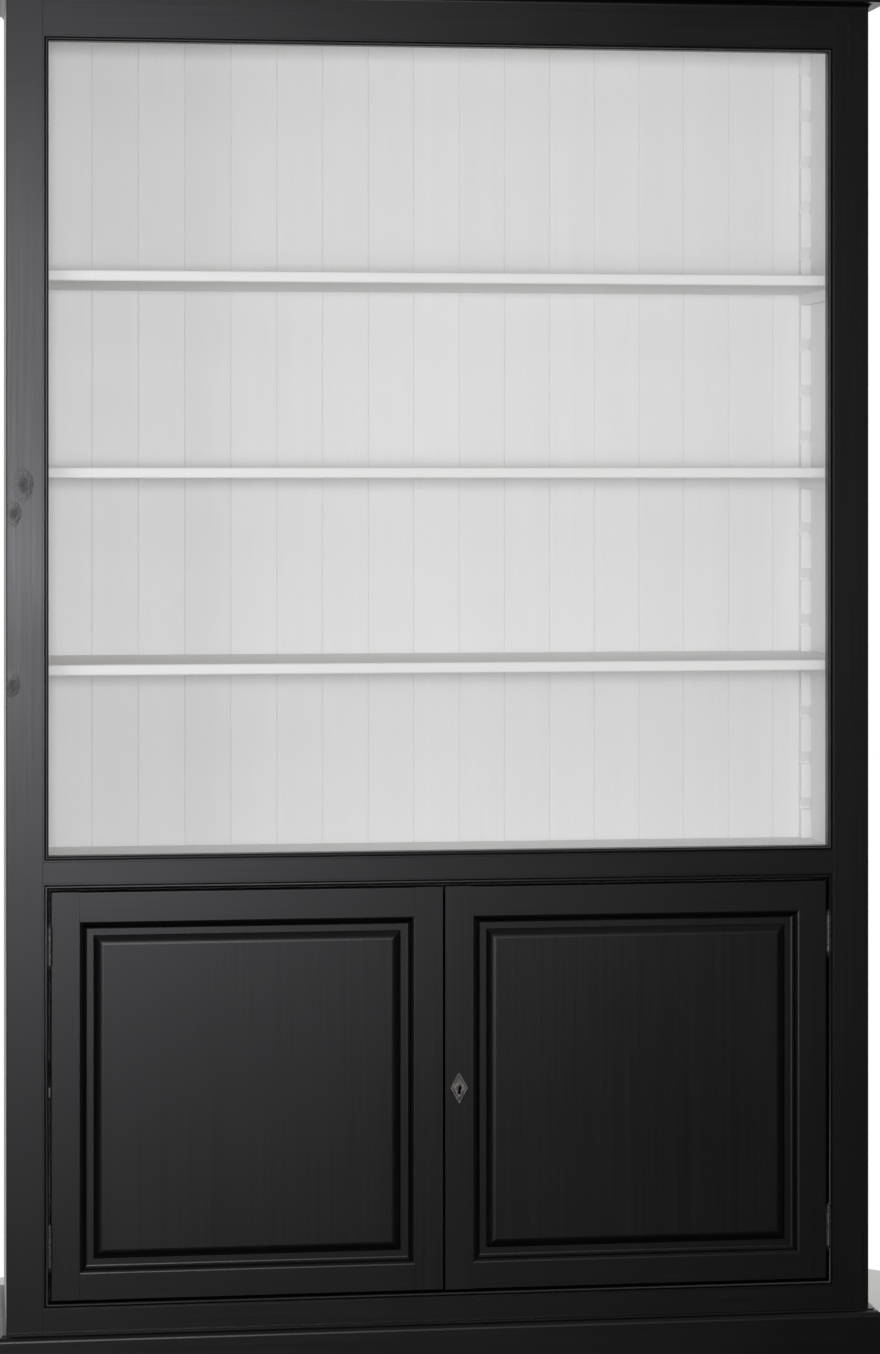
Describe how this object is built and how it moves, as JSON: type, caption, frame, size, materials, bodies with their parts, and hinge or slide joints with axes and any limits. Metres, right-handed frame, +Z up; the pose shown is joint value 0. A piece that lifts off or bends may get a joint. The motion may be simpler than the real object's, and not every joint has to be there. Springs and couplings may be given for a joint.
{
  "type": "bookcase with cabinet doors",
  "caption": "Tall painted bookcase with adjustable open shelves on notched ladder strips above, and a cupboard with a pair of hinged raised-panel doors below.",
  "frame": {"origin": "on the floor, under the middle of the whole bookcase's bounding box", "axes": "+Z up, +X to the right seen from the front, +Y from the front to the back; the doors face -Y"},
  "size_m": [1.516, 0.408, 2.3],
  "materials": {
    "black_paint": "satin black paint",
    "white_paint": "satin off-white paint",
    "dark_iron": "dark iron",
    "pewter": "antique pewter",
    "steel": "plain steel"
  },
  "bodies": {
    "carcass": {"side_panel_left": "black_paint", "side_panel_right": "black_paint", "top_panel": "white_paint", "middle_deck": "white_paint", "bottom_panel": "white_paint", "back_boards": "white_paint", "face_stile_left": "black_paint", "face_stile_right": "black_paint", "face_top_rail": "black_paint", "face_middle_rail": "black_paint", "face_bottom_rail": "black_paint", "upper_opening_bead": "black_paint", "door_opening_bead": "black_paint", "plinth_front": "black_paint", "plinth_left": "black_paint", "plinth_right": "black_paint", "cornice_front": "black_paint", "cornice_left": "black_paint", "cornice_right": "black_paint", "cornice_top_board": "black_paint", "ladder_strip_front_left": "white_paint", "ladder_strip_front_right": "white_paint", "ladder_strip_back_left": "white_paint", "ladder_strip_back_right": "white_paint", "top_shelf_battens": "white_paint", "middle_shelf_battens": "white_paint", "bottom_shelf_battens": "white_paint", "cabinet_shelf_cleats": "white_paint", "hinge_frame_leaves": "dark_iron", "hinge_pins": "dark_iron", "hinge_frame_screws": "steel"},
    "top_shelf": {"top_shelf": "white_paint"},
    "middle_shelf": {"middle_shelf": "white_paint"},
    "bottom_shelf": {"bottom_shelf": "white_paint"},
    "cabinet_shelf": {"cabinet_shelf": "white_paint"},
    "left_door": {"left_door_hinge_stile": "black_paint", "left_door_bottom_rail": "black_paint", "left_door_top_rail": "black_paint", "left_door_panel": "black_paint", "left_door_moulding": "black_paint", "left_door_hinge_leaves": "dark_iron", "left_door_hinge_screws": "steel", "left_door_meeting_stile": "black_paint", "bolt_guides": "steel"},
    "upper_bolt": {"upper_bolt": "steel"},
    "lower_bolt": {"lower_bolt": "steel"},
    "right_door": {"right_door_hinge_stile": "black_paint", "right_door_bottom_rail": "black_paint", "right_door_top_rail": "black_paint", "right_door_panel": "black_paint", "right_door_moulding": "black_paint", "right_door_hinge_leaves": "dark_iron", "right_door_hinge_screws": "steel", "right_door_lock_stile": "black_paint", "lock_case": "dark_iron", "lock_screws": "steel", "keyhole_plate": "pewter", "keyhole_plate_pins": "pewter"},
    "lock_bolt": {"lock_bolt": "steel"}
  },
  "joints": [
    {"name": "left_door_hinge", "type": "hinge", "parent": "carcass", "child": "left_door", "pos_m": [-0.6315, -0.1508, 0.4715], "axis": [0, 0, -1], "range_deg": [0, 170]},
    {"name": "right_door_hinge", "type": "hinge", "parent": "carcass", "child": "right_door", "pos_m": [0.6315, -0.1508, 0.4715], "axis": [0, 0, 1], "range_deg": [0, 170]},
    {"name": "top_shelf_lift", "type": "slide", "parent": "carcass", "child": "top_shelf", "axis": [0, 0, 1], "range_m": [0, 0.0789]},
    {"name": "middle_shelf_lift", "type": "slide", "parent": "carcass", "child": "middle_shelf", "axis": [0, 0, 1], "range_m": [0, 0.0789]},
    {"name": "bottom_shelf_lift", "type": "slide", "parent": "carcass", "child": "bottom_shelf", "axis": [0, 0, 1], "range_m": [0, 0.0789]},
    {"name": "cabinet_shelf_lift", "type": "slide", "parent": "carcass", "child": "cabinet_shelf", "axis": [0, 0, 1], "range_m": [0, 0.06]},
    {"name": "upper_bolt_slide", "type": "slide", "parent": "left_door", "child": "upper_bolt", "axis": [0, 0, 1], "range_m": [0, 0.014]},
    {"name": "lower_bolt_slide", "type": "slide", "parent": "left_door", "child": "lower_bolt", "axis": [0, 0, -1], "range_m": [0, 0.014]},
    {"name": "lock_bolt_slide", "type": "slide", "parent": "right_door", "child": "lock_bolt", "axis": [-1, 0, 0], "range_m": [0, 0.009]}
  ]
}
